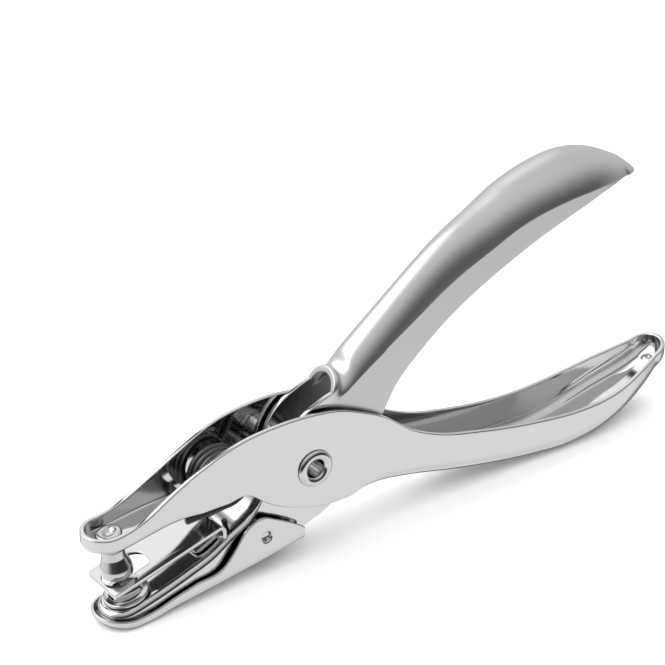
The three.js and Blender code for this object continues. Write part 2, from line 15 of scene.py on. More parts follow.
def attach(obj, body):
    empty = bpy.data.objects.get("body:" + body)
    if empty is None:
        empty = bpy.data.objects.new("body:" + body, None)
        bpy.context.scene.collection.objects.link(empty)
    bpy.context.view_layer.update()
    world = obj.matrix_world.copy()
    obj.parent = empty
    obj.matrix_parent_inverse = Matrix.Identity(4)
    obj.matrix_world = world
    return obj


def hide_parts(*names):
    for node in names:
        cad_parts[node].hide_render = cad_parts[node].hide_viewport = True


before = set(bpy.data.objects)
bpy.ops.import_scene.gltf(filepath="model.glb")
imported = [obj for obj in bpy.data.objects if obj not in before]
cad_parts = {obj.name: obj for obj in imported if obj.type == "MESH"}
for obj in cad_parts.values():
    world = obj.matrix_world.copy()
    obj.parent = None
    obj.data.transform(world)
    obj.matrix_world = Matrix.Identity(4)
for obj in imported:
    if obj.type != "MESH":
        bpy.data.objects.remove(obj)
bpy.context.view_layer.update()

# ---- the design frame ----
MM = 0.001
PIVOT_X = -0.5 * (-44.0 + 84.8)  # the pivot's X in the row frame, mm
PIVOT_Z = 17.815           # the pivot's Z in the row frame, mm


def row(points):
    """Design points in mm to row-frame points in metres."""
    return (np.asarray(points, float) + [PIVOT_X, 0.0, PIVOT_Z]) * MM


class Curve:
    """Smooth curve through (x, z) points, the same one that the solids are drawn with."""

    def __init__(self, points):
        self.p = np.array(points, float)
        x, z = self.p.T
        step = np.diff(z) / np.diff(x)
        width = np.diff(x)
        self.m = np.empty(len(x))
        self.m[0], self.m[-1] = step[0], step[-1]
        self.m[1:-1] = (step[:-1] * width[1:] + step[1:] * width[:-1]) / (width[1:] + width[:-1])

    def __call__(self, x):
        px, pz = self.p.T
        x = np.clip(float(x), px[0], px[-1])
        i = np.clip(np.searchsorted(px, x, side="right") - 1, 0, len(px) - 2)
        h = px[i + 1] - px[i]
        t = (x - px[i]) / h
        t2, t3 = t * t, t * t * t
        return float((2 * t3 - 3 * t2 + 1) * pz[i] + (t3 - 2 * t2 + t) * h * self.m[i]
                     + (3 * t2 - 2 * t3) * pz[i + 1] + (t3 - t2) * h * self.m[i + 1])

    def slope(self, x):
        return (self(x + 0.05) - self(x - 0.05)) / 0.1


# ---- outlines ----
SHEET = 0.9                # steel of both arms
EDGE_R = 0.27              # rounding of a sheared edge
GAP = 0.3                  # clearance between separate pieces

PUNCH_NOSE = (-39.6, 4.4)  # centre X and radius of the rounded end
PUNCH_TIP = (80.6, 4.2)
PUNCH_HALF = Curve([(-39.6, 4.4), (-33, 4.3), (-26, 4.15), (-20, 4.45), (-13, 4.95), (-7, 5.2),
                    (20, 5.2), (30, 5.3), (40, 5.6), (50, 6.15), (60, 6.9), (66, 7.05), (71, 6.6),
                    (76, 5.5), (80.6, 4.2)])
PUNCH_RIM = Curve([(-44, 1.3), (-37.5, 1.45), (-34, 2.4), (-28.5, 5.0), (-22.5, 7.75),
                   (-14, 10.65), (-7, 11.25), (0, 10.8), (6.3, 9.4), (10.6, 7.4), (15, 4.9),
                   (22, -0.8), (28, -3.9), (36, -6.3), (50, -9.2), (58, -10.0), (66, -9.8),
                   (75, -8.2), (85, -5.6)])
UPPER_JAW_FLOOR = Curve([(-44, -1.7), (-38, -1.9), (-34, -1.5), (-28, -0.9), (-22.5, -0.82),
                         (-20, -0.8)])
LOWER_HANDLE_FLOOR = Curve([(8, -8.35), (11, -8.45), (15, -9.2), (22, -10.9), (30, -13.2),
                            (40, -15.5), (50, -17.2), (56, -17.8), (64, -17.2), (72, -15.0),
                            (79, -12.3), (85, -8.6)])
PUNCH_BEND = Curve([(-44, 0.95), (-26, 0.95), (-22.5, 0.3), (9.6, 0.3), (11.5, 0.9), (15, 1.9),
                    (20, 2.2), (45, 2.6), (60, 3.2), (85, 3.6)])
ARCH = Curve([(-22.5, -0.82), (-20, -0.78), (-17.8, -0.8), (-13.9, -0.5), (-12.6, -1.2),
              (-11, -2.7), (-8.3, -4.7), (-3.9, -6.8), (0.5, -8.3), (5, -8.95), (8.1, -8.85),
              (9.6, -8.4)])
ARCH_START, ARCH_END = -22.5, 9.6

DIE_NOSE = (-37.6, 4.5)
DIE_TIP = (72.3, 3.6)
DIE_HALF = Curve([(-37.6, 4.5), (-24, 4.45), (-17, 4.2), (-11, 4.0), (20, 4.0), (30, 4.3),
                  (40, 5.1), (50, 6.1), (57, 6.6), (63, 6.5), (68, 5.4), (72.3, 3.6)])
DIE_EDGE = Curve([(-42, -16.2), (-36, -16.35), (-30, -15.4), (-16, -14.1), (-5, -12.6),
                  (-1, -11.8), (4.8, -9.3), (9.5, -3.4), (15.8, 4.2), (16.9, 6.0), (18.6, 8.7),
                  (20.9, 11.2), (24.1, 13.9), (31.6, 19.4), (41.8, 25.2), (50.6, 29.3),
                  (59.5, 32.4), (64.5, 33.6), (69, 33.9), (76, 33.2)])
CREASE = Curve([(5, 10.0), (6.9, 11.1), (13.5, 15.2), (22.7, 20.5), (32.4, 26.2), (39.8, 29.7),
                (46, 32.6), (53, 34.4), (60.5, 35.1), (69, 34.6), (76, 33.6)])
CROWN = Curve([(5, 3.2), (9, 3.7), (16, 4.8), (24, 6.0), (34, 6.6), (45, 6.3), (54, 6.4),
               (61, 6.3), (67, 5.2), (72, 3.1), (76, 1.2)])
LOWER_JAW_TOP = Curve([(-42, -14.65), (-37.25, -14.0), (-33, -13.1), (-26, -11.2), (-21, -9.6),
                       (-18, -8.0), (-10.4, -2.9), (-9.4, -1.3)])
THROAT = Curve([(-9.4, -1.3), (-8.2, -0.3), (-6.4, 2.5), (-4.3, 6.6), (-2.7, 8.7), (-0.5, 10.4),
                (2, 11.5), (4.6, 12.4), (5.7, 12.7)])

TRAY_NOSE = (-37.8, 5.4)
TRAY_END = -2.8
TRAY_SHEET = 0.5
TRAY_HALF = Curve([(-37.8, 5.4), (-20, 5.4), (-2.8, 5.4)])
TRAY_RIM = Curve([(-43.2, -15.4), (-36.4, -15.8), (-33.3, -15.4), (-30.2, -14.6), (-25.8, -13.7),
                  (-19.4, -12.3), (-17.6, -10.4), (-14.6, -6.9), (-12.6, -5.95), (-11, -5.9),
                  (-8.6, -7.2), (-3.9, -10.3), (-2.8, -11.2)])
TRAY_FLOOR = Curve([(-43.2, -16.9), (-38, -17.8), (-34, -17.8), (-31, -17.3), (-24, -16.6),
                    (-10, -14.9), (-2.8, -13.9)])
TRAY_BEND = Curve([(-43.2, 1.2), (-36, 1.5), (-2.8, 1.5)])


# ---- mesh tools ----
MERGE = 2e-6               # points closer than this are one, in metres
SHORTEST_EDGE = 1e-7
SHARP_ANGLE = 32.0         # edges that turn more than this stay sharp, in degrees
SAME = 1e-6                # two places along a curve closer than this are the same, in mm


class Shell:
    """Collects patches of quads and joins them into one mesh."""

    def __init__(self):
        self.bm = bmesh.new()

    def patch(self, grid, wrap=False):
        """grid is (rows, columns, 3), in mm. Rows run along the first index."""
        points = row(grid)
        verts = [[self.bm.verts.new(p) for p in line] for line in points]
        rows, columns = points.shape[:2]
        for i in range(rows - 1):
            for k in range(columns if wrap else columns - 1):
                n = (k + 1) % columns
                self.bm.faces.new((verts[i][k], verts[i][n], verts[i + 1][n], verts[i + 1][k]))

    def both_sides(self, grid):
        mirrored = np.array(grid, float)
        mirrored[..., 1] *= -1
        self.patch(grid)
        self.patch(mirrored)

    def close(self, name):
        """Merges the patches' shared points, fills what is still open and makes the object."""
        bm = self.bm
        bmesh.ops.remove_doubles(bm, verts=bm.verts, dist=MERGE)
        bmesh.ops.dissolve_degenerate(bm, edges=bm.edges, dist=SHORTEST_EDGE)
        rim = [e for e in bm.edges if e.is_boundary]
        bmesh.ops.holes_fill(bm, edges=rim, sides=0)
        bmesh.ops.recalc_face_normals(bm, faces=bm.faces)
        return make_object(name, bm)


def add_object(name, data):
    obj = bpy.data.objects.new(name, data)
    bpy.context.scene.collection.objects.link(obj)
    return obj


def make_object(name, bm):
    mesh = bpy.data.meshes.new(name)
    bm.to_mesh(mesh)
    bm.free()
    return add_object(name, mesh)


def smooth(obj):
    mesh = obj.data
    mesh.polygons.foreach_set("use_smooth", [True] * len(mesh.polygons))
    mesh.set_sharp_from_angle(angle=math.radians(SHARP_ANGLE))
    weighted = obj.modifiers.new("weighted", "WEIGHTED_NORMAL")
    weighted.keep_sharp = True
    weighted.weight = 80


def evaluated_mesh(obj):
    bpy.context.view_layer.update()
    evaluated = obj.evaluated_get(bpy.context.evaluated_depsgraph_get())
    return bpy.data.meshes.new_from_object(evaluated)


def apply_modifiers(obj):
    mesh = evaluated_mesh(obj)
    obj.modifiers.clear()
    obj.data = mesh


def combine(obj, other, operation):
    """Joins other to obj or takes it away from obj, and deletes other."""
    boolean = obj.modifiers.new("boolean", "BOOLEAN")
    boolean.operation = operation
    boolean.solver = "EXACT"
    boolean.object = other
    apply_modifiers(obj)
    bpy.data.objects.remove(other)
    return obj


def cut(obj, cutter):
    return combine(obj, cutter, "DIFFERENCE")


def join(obj, other):
    return combine(obj, other, "UNION")


def around(sides):
    """Angles evenly spaced round a full turn."""
    return np.linspace(0, 2 * math.pi, sides, endpoint=False)


def arc(centre, radius, start, end, steps):
    """Points on an arc in a plane. Angles in degrees."""
    angles = np.radians(np.linspace(start, end, steps + 1))
    return [(centre[0] + radius * math.cos(a), centre[1] + radius * math.sin(a)) for a in angles]


def rounded(points, radii, steps=5):
    """Polyline with its corners rounded. radii holds one radius per inner corner."""
    out = [points[0]]
    for i in range(1, len(points) - 1):
        p = np.array(points[i], float)
        a = np.array(points[i - 1], float) - p
        b = np.array(points[i + 1], float) - p
        la, lb = np.linalg.norm(a), np.linalg.norm(b)
        r = radii[i - 1] if hasattr(radii, "__len__") else radii
        turn = math.acos(np.clip(np.dot(a, b) / (la * lb), -1, 1))
        if r <= 0 or abs(math.pi - turn) < 0.02:
            out.append(tuple(p))
            continue
        back = min(r / math.tan(turn / 2), 0.45 * la, 0.45 * lb)
        start, end = p + a / la * back, p + b / lb * back
        for t in np.linspace(0, 1, steps + 1):
            out.append(tuple((1 - t) ** 2 * start + 2 * t * (1 - t) * p + t * t * end))
    out.append(points[-1])
    return out


def lathe(name, profile, place, sides=96, closed=False):
    """Turns an open (radius, height) profile about Z. place moves design points into position."""
    line = np.array(profile + [profile[0]] if closed else profile, float)
    angles = around(sides)
    grid = np.zeros((len(line), sides, 3))
    grid[..., 0] = line[:, :1] * np.cos(angles)
    grid[..., 1] = line[:, :1] * np.sin(angles)
    grid[..., 2] = line[:, 1:2]
    shell = Shell()
    shell.patch(place(grid), wrap=True)
    return shell.close(name)


def turn_y(points, angle):
    """Turns points about Y by angle in radians, X towards Z."""
    points = np.asarray(points, float)
    c, s = math.cos(angle), math.sin(angle)
    out = points.copy()
    out[..., 0] = points[..., 0] * c - points[..., 2] * s
    out[..., 2] = points[..., 0] * s + points[..., 2] * c
    return out


# ---- pressed channels ----
WALL_ROWS = 12
BEND_STEPS = 8
LEAST_BEND = 0.1           # inner bend where the outer one is tighter than the sheet
TIP_RISE = 0.3             # share of the floor's rise that the round tip's wall follows


def stations(nose, half, xs, tip=None, steps=26):
    """Points along one side of a channel's outline: (x, y, spine x), from nose to tip."""
    out = []
    for i in range(steps):
        a = (math.pi / 2) * i / steps
        out.append((nose[0] - nose[1] * math.cos(a), -nose[1] * math.sin(a), nose[0]))
    out += [(x, -half(x), x) for x in xs]
    if tip:
        for i in range(steps - 1, -1, -1):
            a = (math.pi / 2) * i / steps
            out.append((tip[0] + tip[1] * math.cos(a), -tip[1] * math.sin(a), tip[0]))
    return out


def even(start, end, step, last=True):
    """Evenly spaced values with about that step."""
    count = max(1, round((end - start) / step))
    values = np.linspace(start, end, count + 1)
    return list(values if last else values[:-1])


def at(station, inward, z):
    """The design point a distance inward from a station's wall, at height z."""
    x, y, spine = station
    reach = math.hypot(x - spine, y)
    k = inward / reach
    return (x + (spine - x) * k, y * (1 - k), z)


def reach_of(station):
    return math.hypot(station[0] - station[2], station[1])


def rim_profile(thickness, r=EDGE_R, steps=4):
    """(inward, drop) points over the top of a wall, from its outer to its inner face."""
    outer = [(r - r * math.cos(a), r - r * math.sin(a)) for a in np.linspace(0, math.pi / 2, steps + 1)]
    inner = [(thickness - d, drop) for d, drop in reversed(outer)]
    return outer + inner


def wall(top, low, inward, rows):
    """(inward, z) down a wall."""
    return [(inward, z) for z in np.linspace(top, low, rows)]


def bend(inward, floor_z, radius, up):
    """(inward, z) round the corner from a wall to a floor. up is 1, or -1 for a floor on top."""
    angles = np.linspace(0, math.pi / 2, BEND_STEPS + 1)
    return [(inward + radius * (1 - math.cos(a)), floor_z + up * radius * (1 - math.sin(a)))
            for a in angles]


def through(thickness, curve, x):
    """How much height a sheet of that thickness takes up where its curve slopes."""
    return thickness * math.hypot(1, float(curve.slope(x)))


def grid_of(line, section):
    """One row of points for each station, from the section's (inward, z) pairs."""
    return np.array([[at(s, d, z) for d, z in section(s)] for s in line])


def floor_rows(station, start, end_z, count=10):
    """From the end of a bend to the spine."""
    reach = reach_of(station)
    d0, z0 = start
    return [(d0 + (reach - d0) * t, z0 + (end_z - z0) * t) for t in np.linspace(0, 1, count + 1)]


def open_channel(shell, line, rim, floor, bend_r, thickness, rim_r=EDGE_R):
    """Walls, rounded rim, bends and floor for stations that have a floor throughout."""
    def skins(s):
        x, _, spine = s
        r = bend_r(x)
        inner_r = max(r - thickness, LEAST_BEND)
        base, base_spine = floor(x), floor(spine)
        if x > spine:
            base = base_spine + TIP_RISE * (base - base_spine)
        outer = bend(0, base, r, 1)
        inner = bend(thickness, base + through(thickness, floor, x), inner_r, 1)
        inner_spine = base_spine + through(thickness, floor, spine)
        return outer, base_spine, inner, inner_spine

    def outer_wall(s):
        outer = skins(s)[0]
        return wall(rim(s[0]) - rim_r, outer[0][1], 0, WALL_ROWS)

    def inner_wall(s):
        inner = skins(s)[2]
        return wall(rim(s[0]) - rim_r, inner[0][1], thickness, WALL_ROWS)

    def outer_floor(s):
        outer, base_spine, _, _ = skins(s)
        return outer + floor_rows(s, outer[-1], base_spine)[1:]

    def inner_floor(s):
        _, _, inner, inner_spine = skins(s)
        return inner + floor_rows(s, inner[-1], inner_spine)[1:]

    def top(s):
        return [(d, rim(s[0]) - drop) for d, drop in rim_profile(thickness, rim_r)]

    for section in (outer_wall, inner_wall, outer_floor, inner_floor, top):
        shell.both_sides(grid_of(line, section))


def build_punch_arm():
    """Upper jaw and lower handle share the side plates; the floor stops either side of the arch."""
    xs = (even(PUNCH_NOSE[0], ARCH_START, 0.7, False) + even(ARCH_START, ARCH_END, 0.6, False)
          + even(ARCH_END, PUNCH_TIP[0], 0.8))
    line = stations(PUNCH_NOSE, PUNCH_HALF, xs, PUNCH_TIP)
    front = [s for s in line if s[0] <= ARCH_START + SAME]
    middle = [s for s in line if ARCH_START - SAME <= s[0] <= ARCH_END + SAME]
    rear = [s for s in line if s[0] >= ARCH_END - SAME]
    shell = Shell()
    open_channel(shell, front, PUNCH_RIM, UPPER_JAW_FLOOR, PUNCH_BEND, SHEET)
    open_channel(shell, rear, PUNCH_RIM, LOWER_HANDLE_FLOOR, PUNCH_BEND, SHEET)

    def inner_start(x, floor):
        return through(SHEET, floor, x) + max(PUNCH_BEND(x) - SHEET, LEAST_BEND)

    def outer_start(x, _):
        return PUNCH_BEND(x)

    def along_arch(s, start):
        """Height above the arch where the floors' bends start, carried from one floor to the other."""
        ends = []
        for x, floor in ((ARCH_START, UPPER_JAW_FLOOR), (ARCH_END, LOWER_HANDLE_FLOOR)):
            ends.append(floor(x) + start(x, floor) - ARCH(x))
        t = (s[0] - ARCH_START) / (ARCH_END - ARCH_START)
        return ARCH(s[0]) + ends[0] * (1 - t) + ends[1] * t

    def shelf(s):
        return along_arch(s, inner_start)

    def foot(s):
        return along_arch(s, outer_start)

    def rim(s):
        return PUNCH_RIM(s[0])

    def hem(s):
        """The lower edge of a side plate, rounded, from its outer to its inner face."""
        r = foot(s) - ARCH(s[0])
        return [(d, ARCH(s[0]) + drop) for d, drop in rim_profile(SHEET, r)]

    shell.both_sides(grid_of(middle, lambda s: wall(rim(s) - EDGE_R, foot(s), 0, WALL_ROWS)))
    shell.both_sides(grid_of(middle, lambda s: wall(rim(s) - EDGE_R, shelf(s), SHEET, WALL_ROWS)))
    shell.both_sides(grid_of(middle, lambda s: wall(shelf(s), foot(s), SHEET, 3)))
    shell.both_sides(grid_of(middle, hem))
    shell.both_sides(grid_of(middle, lambda s: [(d, rim(s) - drop) for d, drop in rim_profile(SHEET)]))
    return shell.close("punch_arm_shell")


def cross_cutter(x, z, radius, half=9.0, sides=96):
    """Bar across the object, to cut a round hole through both side plates."""
    angles = around(sides)
    grid = np.zeros((2, sides, 3))
    grid[..., 0] = x + radius * np.cos(angles)
    grid[..., 2] = z + radius * np.sin(angles)
    grid[0, :, 1], grid[1, :, 1] = -half, half
    shell = Shell()
    shell.patch(grid, wrap=True)
    return shell.close("cutter")


# ---- die arm ----
WEB_END = -9.4             # rear end of the lower jaw's web
CROWN_START = 5.6          # front end of the upper handle's crown, at its foot
CROWN_LEAN = 0.6           # how far that end leans back for each millimetre of height
LEAN_LENGTH = 6.0          # behind the front end, the lean has died away after this
FRONT_FOOT = 12.35         # height up to which the plates stay flat at the crown's front end
FRONT_RISE = 0.35          # how much that height grows for each millimetre behind the front end
FRONT_TOP = 15.5           # height of the crown at its front end
FRONT_INNER_FOOT = 0.6     # share of the sheet by which the inner face's plates end lower
FRONT_PLAIN = 0.3          # the front end's plain section lasts this far back
FRONT_BLEND = 1.8          # and turns into the creased one over this
CREASE_FOOT = 0.16         # how far below the crease the crown's rows begin
CREASE_RISE = 0.2          # how far that rounded step climbs
SIDE_ROWS = 10             # rows of the plates that run on into the crown
CROWN_ROWS = 22            # rows from there to the spine
SHELF_ROWS = 3
BULGE = 0.35               # how far the crown stands out from the plates
CREASE_ROWS = 4
CREASE_SPEED = 1.3         # how fast the step bulges out as it rises
CREASE_LIFT = 0.05
JAW_BEND, JAW_BEND_END = 1.2, 0.3  # outer bend of the web, and at its rear end
CROWN_POWER = 2.15         # 2 is an ellipse, more is squarer
CROWN_TURN = math.radians(20)  # the crown leans in from its foot
HEM_R = 0.22


def smoothstep(t):
    """0 up to 0, 1 from 1, smooth between."""
    t = min(max(t, 0.0), 1.0)
    return t * t * (3 - 2 * t)


def jaw_bend(x):
    """Outer bend of the lower jaw's web; it tightens where the web ends."""
    return JAW_BEND_END + (JAW_BEND - JAW_BEND_END) * smoothstep((WEB_END - x) / 5.0)


def web_skins(s):
    """Outer and inner skin of the lower jaw's web, as (inward, z) rows."""
    x, _, spine = s
    r = jaw_bend(x)
    inner_r = max(r - SHEET, LEAST_BEND)
    outer = bend(0, LOWER_JAW_TOP(x), r, -1)
    inner = bend(SHEET, LOWER_JAW_TOP(x) - through(SHEET, LOWER_JAW_TOP, x), inner_r, -1)
    spine_top = LOWER_JAW_TOP(spine)
    outer += floor_rows(s, outer[-1], spine_top)[1:]
    inner += floor_rows(s, inner[-1], spine_top - through(SHEET, LOWER_JAW_TOP, spine))[1:]
    return outer, inner


def hem_z(s):
    """Height of a plate's lower edge. Under the crown it stays clear of the crease."""
    edge = DIE_EDGE(s[0])
    return min(edge, CREASE(s[0]) - 0.5) if s[0] > CROWN_START else edge


def side_top(s):
    """Height of a plate's top row: under the web, under the throat's edge, or at the crown's foot."""
    if s[0] <= WEB_END + SAME:
        return web_skins(s)[0][0][1]
    return THROAT(s[0]) - HEM_R


def side_split(s):
    """Height where the plate's lower rows end and its upper rows begin."""
    if s[2] >= CROWN_START - SAME:
        return CREASE(s[0]) - CREASE_FOOT
    start = THROAT(CROWN_START) - HEM_R - (CREASE(CROWN_START) - CREASE_FOOT)
    height = side_top(s) - hem_z(s) - HEM_R
    return side_top(s) - min(start, 0.5 * height)


def inner_shelf(s):
    """Height where the inner face meets the underside of the web, carried along the throat."""
    if s[0] <= WEB_END + SAME:
        return web_skins(s)[1][0][1]
    border = (WEB_END, -DIE_HALF(WEB_END), WEB_END)
    drop = side_top(border) - web_skins(border)[1][0][1]
    t = (s[0] - WEB_END) / (CROWN_START - WEB_END)
    return side_top(s) - drop * (1 - t) - 0.5 * t


def arch(t, power, turn):
    """Half of a rounded section: share of the width and of the height, t from its foot to its top."""
    a = turn + (math.pi / 2 - turn) * t
    width, height = math.cos(a) ** (2 / power), math.sin(a) ** (2 / power)
    low = math.sin(turn) ** (2 / power)
    return width / math.cos(turn) ** (2 / power), (height - low) / (1 - low)


def crown_rows(s, inset):
    """Upper rows of the handle from its plates to its spine, as (inward, z, x shift)."""
    x, _, spine = s
    reach = reach_of(s)
    lift = through(inset, CREASE, spine) if inset else 0.0
    crown = CROWN(spine) - lift
    fall = CREASE.slope(spine) + CROWN.slope(spine)
    crease, spine_crease = CREASE(x), CREASE(spine)
    extra = SHELF_ROWS if inset else 0
    rows = []
    for i in range(CREASE_ROWS):
        t = i / CREASE_ROWS
        out = BULGE * min(CREASE_SPEED * t, 1.0) ** 2
        rows.append((inset - out, crease - CREASE_FOOT + CREASE_RISE * t))
    count = SIDE_ROWS + extra + CROWN_ROWS - CREASE_ROWS
    for i in range(count + 1):
        share, rise = arch(i / count, CROWN_POWER, CROWN_TURN)
        d = reach if i == count else reach - (reach + BULGE - inset) * share
        foot = crease + (spine_crease - crease) * rise
        beyond = (x - spine) * (1 - d / reach)
        rows.append((d, foot + CREASE_LIFT * (1 - rise) + (crown + fall * beyond) * rise))
    blend = smoothstep((x - CROWN_START - FRONT_PLAIN) / FRONT_BLEND)
    if blend < 1:
        top = max(CREASE(x) + CROWN(x), FRONT_TOP) - lift
        foot = FRONT_FOOT + FRONT_RISE * (x - CROWN_START) - lift * FRONT_INNER_FOOT
        low = crease - CREASE_FOOT
        straight = [(inset, low + (foot - low) * i / (SIDE_ROWS + extra))
                    for i in range(SIDE_ROWS + extra)]
        for i in range(CROWN_ROWS + 1):
            share, rise = arch(i / CROWN_ROWS, 2.0, 0.0)
            d = reach if i == CROWN_ROWS else reach - (reach - inset) * share
            straight.append((d, foot + (top - foot) * rise))
        rows = [(a[0] * (1 - blend) + b[0] * blend, a[1] * (1 - blend) + b[1] * blend)
                for a, b in zip(straight, rows)]
    lean = 1 - smoothstep((x - CROWN_START) / LEAN_LENGTH)
    base = max(FRONT_FOOT, crease)
    return [(d, z, CROWN_LEAN * lean * max(z - base, 0.0)) for d, z in rows]


def crown_grid(line, inset):
    return np.array([[np.array(at(s, d, z)) + [shift, 0, 0] for d, z, shift in crown_rows(s, inset)]
                     for s in line])


def edge_ring(outer, inner, direction, r=HEM_R, thickness=SHEET):
    """Rounded edge between an outer and an inner base point, standing out along direction."""
    outer, inner, direction = (np.asarray(v, float) for v in (outer, inner, direction))
    return [outer + (inner - outer) * (d / thickness) + direction * (r - drop)
            for d, drop in rim_profile(thickness, r)]


def build_die_arm():
    xs_jaw = even(DIE_NOSE[0], WEB_END, 0.7)
    xs_plate = even(WEB_END, CROWN_START, 0.5)
    xs_handle = even(CROWN_START, 14, 0.4, False) + even(14, DIE_TIP[0], 0.8)
    jaw = stations(DIE_NOSE, DIE_HALF, xs_jaw)
    plate = [(x, -DIE_HALF(x), x) for x in xs_plate]
    handle = [s for s in stations(DIE_NOSE, DIE_HALF, xs_handle, DIE_TIP)
              if s[2] >= CROWN_START - SAME]
    shell = Shell()

    def low_rows(inset):
        return lambda s: wall(hem_z(s) + HEM_R, side_split(s), inset, 10)

    def hem(s):
        return [(d, hem_z(s) + drop) for d, drop in rim_profile(SHEET, HEM_R)]

    for line in (jaw, plate, handle):
        shell.both_sides(grid_of(line, low_rows(0)))
        shell.both_sides(grid_of(line, low_rows(SHEET)))
        shell.both_sides(grid_of(line, hem))
    for line in (jaw, plate):
        shell.both_sides(grid_of(line, lambda s: wall(side_split(s), side_top(s), 0, SIDE_ROWS + 1)))
        shell.both_sides(grid_of(line, lambda s: wall(side_split(s), inner_shelf(s), SHEET, SIDE_ROWS + 1)))
    shell.both_sides(grid_of(jaw, lambda s: web_skins(s)[0]))
    shell.both_sides(grid_of(jaw, lambda s: web_skins(s)[1]))
    shell.both_sides(grid_of(plate, lambda s: wall(inner_shelf(s), side_top(s), SHEET, SHELF_ROWS + 1)))
    outer, inner = crown_grid(handle, 0), crown_grid(handle, SHEET)
    border = plate[-1]
    matched = wall(side_split(border), side_top(border), 0, SIDE_ROWS + 1)
    for k, (d, z) in enumerate(matched):
        outer[0, k] = at(border, d, z)
    shelf = (wall(side_split(border), inner_shelf(border), SHEET, SIDE_ROWS + 1)
             + wall(inner_shelf(border), side_top(border), SHEET, SHELF_ROWS + 1)[1:])
    for k, (d, z) in enumerate(shelf):
        inner[0, k] = at(border, d, z)
    shell.both_sides(outer)
    shell.both_sides(inner)
    front = np.array([-1.0, 0.0, CROWN_LEAN]) / math.hypot(1.0, CROWN_LEAN)

    def direction(x):
        t = smoothstep((x - CROWN_START + 2.0) / 2.0)
        v = np.array([0.0, 0.0, 1.0]) * (1 - t) + front * t
        return v / np.linalg.norm(v)

    rings = [edge_ring(at(s, 0, side_top(s)), at(s, SHEET, side_top(s)), direction(s[0])) for s in plate]
    shell.both_sides(np.array(rings))
    rings = [edge_ring(outer[0, SIDE_ROWS + k], inner[0, SIDE_ROWS + SHELF_ROWS + k], front)
             for k in range(CROWN_ROWS + 1)]
    shell.both_sides(np.array(rings))
    return shell.close("die_arm_shell")


# ---- chip catcher ----
TRAY_FLOOR_END = -14.0     # the floor stops here, so that the open catcher clears the die arm
TRAY_BEND_R = 1.5
TRAY_RIM_R = 0.18
HEM_STEPS = 6              # steps of the bend that the walls keep behind the floor
DIMPLE_X, DIMPLE_Z = -10.8, -10.0
DIMPLE_HOLE = 1.5          # hole in the die arm that each dimple turns in


def tray_rear_section(s):
    """Behind the floor: wall and the start of its bend, outer and inner."""
    base = TRAY_FLOOR(s[0])
    inner_base = base + through(TRAY_SHEET, TRAY_FLOOR, s[0])
    outer = bend(0, base, TRAY_BEND_R, 1)[:HEM_STEPS + 1]
    inner = bend(TRAY_SHEET, inner_base, TRAY_BEND_R - TRAY_SHEET, 1)[:HEM_STEPS + 1]
    top = TRAY_RIM(s[0]) - TRAY_RIM_R
    outer = wall(top, outer[0][1], 0, WALL_ROWS) + outer[1:]
    inner = wall(top, inner[0][1], TRAY_SHEET, WALL_ROWS) + inner[1:]
    return outer, inner


def tray_hem(s):
    outer, inner = tray_rear_section(s)
    angle = (math.pi / 2) * HEM_STEPS / BEND_STEPS
    way = (math.sin(angle), -math.cos(angle))
    ring = edge_ring(outer[-1], inner[-1], way, TRAY_RIM_R, TRAY_SHEET)
    return [(float(d), float(z)) for d, z in ring]


def build_tray():
    front = stations(TRAY_NOSE, TRAY_HALF, even(TRAY_NOSE[0], TRAY_FLOOR_END, 0.6))
    rear = [(x, -TRAY_NOSE[1], x) for x in even(TRAY_FLOOR_END, TRAY_END, 0.4)]
    shell = Shell()
    open_channel(shell, front, TRAY_RIM, TRAY_FLOOR, TRAY_BEND, TRAY_SHEET, TRAY_RIM_R)
    shell.both_sides(grid_of(rear, lambda s: tray_rear_section(s)[0]))
    shell.both_sides(grid_of(rear, lambda s: tray_rear_section(s)[1]))
    shell.both_sides(grid_of(rear, tray_hem))
    shell.both_sides(grid_of(rear, lambda s: [(d, TRAY_RIM(s[0]) - drop)
                                              for d, drop in rim_profile(TRAY_SHEET, TRAY_RIM_R)]))
    tray = shell.close("chip_catcher_shell")
    bump = [(0, -1.62), (0.6, -1.6), (0.9, -1.45), (1.05, -1.15), (1.15, -0.7), (1.2, -0.25), (0, -0.25)]
    recess = [(0, -0.85), (0.55, -0.84), (0.78, -0.76), (0.88, -0.55), (0.95, -0.25), (1.08, -0.07),
              (1.25, 0.0), (1.6, 0.04), (1.6, 0.4), (0, 0.4)]
    for way in (1, -1):
        def place(points):
            out = np.empty_like(points)
            out[..., 0] = DIMPLE_X + points[..., 0]
            out[..., 1] = way * (TRAY_NOSE[1] + points[..., 2])
            out[..., 2] = DIMPLE_Z + points[..., 1]
            return out
        join(tray, lathe("bump", bump, place, 48))
        cut(tray, lathe("recess", recess, place, 48))
    return tray


# ---- small pieces ----
GUIDE_FRONT = (-41.4, -9.72)
GUIDE_SLOPE = math.atan(0.2365)
GUIDE_REAR = -18.63
GUIDE_HALF = 4.65
GUIDE_T = 0.7
GUIDE_BEND = 1.1
SLOT_R, SLOT_FRONT, SLOT_REAR = 3.3, 3.85, 6.1
FOOT_X, FOOT_HALF = -21.3, 2.0
FOOT_NECK = 0.3            # past the bend, the plate narrows to the foot here
BEND_SLICE = 0.12          # the bent stretch is divided this finely
BEVEL = 0.13

